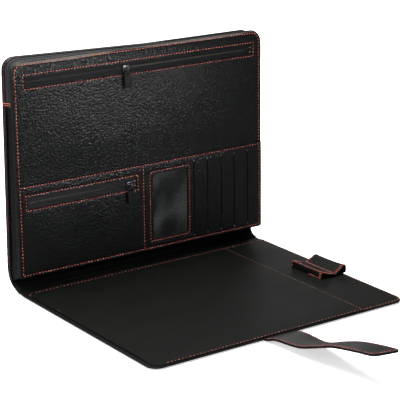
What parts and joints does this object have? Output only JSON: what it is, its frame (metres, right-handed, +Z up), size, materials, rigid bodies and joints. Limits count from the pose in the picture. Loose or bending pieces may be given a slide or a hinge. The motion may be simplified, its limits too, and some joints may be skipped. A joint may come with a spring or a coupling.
{
  "type": "leather portfolio case",
  "caption": "Zip-around portfolio case with a flat cover, pen loops, pad pocket, strap closure and an upright zipped compartment faced with pockets.",
  "frame": {"origin": "centre of the cover's underside, on the surface that the open case stands on", "axes": "+X to the right along the spine, +Y from the strap to the back, +Z up"},
  "size_m": [0.3619, 0.477, 0.2768],
  "materials": {
    "grained_leather": "pebbled black leather, semi-matt",
    "smooth_leather": "smooth black lining leather, matt",
    "strap_leather": "smooth black strap leather, satin",
    "board": "grey stiffening board",
    "lining_cloth": "black woven lining",
    "zip_tape": "black woven zip tape",
    "zip_coil": "black nylon coil",
    "dark_metal": "black nickel zip slider",
    "bright_metal": "nickel zip stops",
    "magnet_steel": "plain steel",
    "clear_vinyl": "clear soft vinyl"
  },
  "bodies": {
    "cover": {"cover_outer_leather": "grained_leather", "cover_board": "board", "cover_lining": "smooth_leather", "pad_pocket_panel": "smooth_leather", "pen_loop_inner": "smooth_leather", "pen_loop_outer": "smooth_leather", "strap_anchor": "strap_leather"},
    "spine": {"spine_outer_leather": "grained_leather", "spine_board": "board", "spine_lining": "smooth_leather"},
    "compartment": {"back_outer_leather": "grained_leather", "back_board": "board", "back_lining": "lining_cloth", "strap_keeper_plate": "magnet_steel", "side_gusset_left": "smooth_leather", "side_gusset_right": "smooth_leather", "bottom_gusset": "smooth_leather", "main_zip_tape_front": "zip_tape", "main_zip_tape_back": "zip_tape", "main_zip_coil": "zip_coil", "organiser_board": "board", "organiser_lining": "lining_cloth", "upper_pocket_panel": "grained_leather", "lower_pocket_panel": "grained_leather", "id_window": "clear_vinyl", "card_pocket_1": "lining_cloth", "card_pocket_2": "lining_cloth", "card_pocket_3": "lining_cloth", "card_pocket_4": "lining_cloth", "card_pocket_5": "lining_cloth", "upper_zip_tapes": "zip_tape", "upper_zip_coil": "zip_coil", "upper_zip_stops": "bright_metal", "lower_zip_tapes": "zip_tape", "lower_zip_coil": "zip_coil", "lower_zip_stops": "bright_metal"},
    "strap_root": {"strap_root_outer": "strap_leather", "strap_root_inner": "strap_leather"},
    "strap_tip": {"strap_tip_outer": "strap_leather", "strap_tip_inner": "strap_leather", "strap_magnet": "magnet_steel"},
    "upper_slider": {"upper_zip_slider": "dark_metal"},
    "upper_pull": {"upper_pull_link": "dark_metal", "upper_pull_tab": "strap_leather"},
    "lower_slider": {"lower_zip_slider": "dark_metal"},
    "lower_pull": {"lower_pull_link": "dark_metal", "lower_pull_tab": "strap_leather"},
    "main_slider": {"main_zip_slider": "dark_metal"},
    "main_pull": {"main_pull_link": "dark_metal", "main_pull_tab": "strap_leather"}
  },
  "joints": [
    {"name": "cover_fold", "type": "hinge", "parent": "cover", "child": "spine", "pos_m": [0, 0.1348, 0.004], "axis": [1, 0, 0], "range_deg": [-10, 76]},
    {"name": "spine_fold", "type": "hinge", "parent": "spine", "child": "compartment", "pos_m": [0, 0.16398, 0.01072], "axis": [1, 0, 0], "range_deg": [-80, 11]},
    {"name": "strap_root_bend", "type": "hinge", "parent": "cover", "child": "strap_root", "pos_m": [-0.0077, -0.135, 0.0015], "axis": [-1, 0, 0], "range_deg": [-10, 81]},
    {"name": "strap_tip_bend", "type": "hinge", "parent": "strap_root", "child": "strap_tip", "pos_m": [-0.0077, -0.19, 0.0093], "axis": [-1, 0, 0], "range_deg": [-25, 78]},
    {"name": "upper_zip_slide", "type": "slide", "parent": "compartment", "child": "upper_slider", "axis": [1, 0, 0], "range_m": [-0.131, 0.178]},
    {"name": "upper_pull_swing", "type": "hinge", "parent": "upper_slider", "child": "upper_pull", "pos_m": [-0.025, 0.14159, 0.25342], "axis": [-1, 0, 0], "range_deg": [-4, 174]},
    {"name": "lower_zip_slide", "type": "slide", "parent": "compartment", "child": "lower_slider", "axis": [1, 0, 0], "range_m": [-0.134, 0.001]},
    {"name": "lower_pull_swing", "type": "hinge", "parent": "lower_slider", "child": "lower_pull", "pos_m": [-0.0245, 0.1367, 0.1116], "axis": [-1, 0, 0], "range_deg": [-4, 174]},
    {"name": "main_zip_slide", "type": "slide", "parent": "compartment", "child": "main_slider", "axis": [0, 0, 1], "range_m": [-0.0045, 0.024]},
    {"name": "main_pull_swing", "type": "hinge", "parent": "main_slider", "child": "main_pull", "pos_m": [0.18165, 0.157, 0.232], "axis": [0, -1, 0], "range_deg": [-4, 172]}
  ]
}
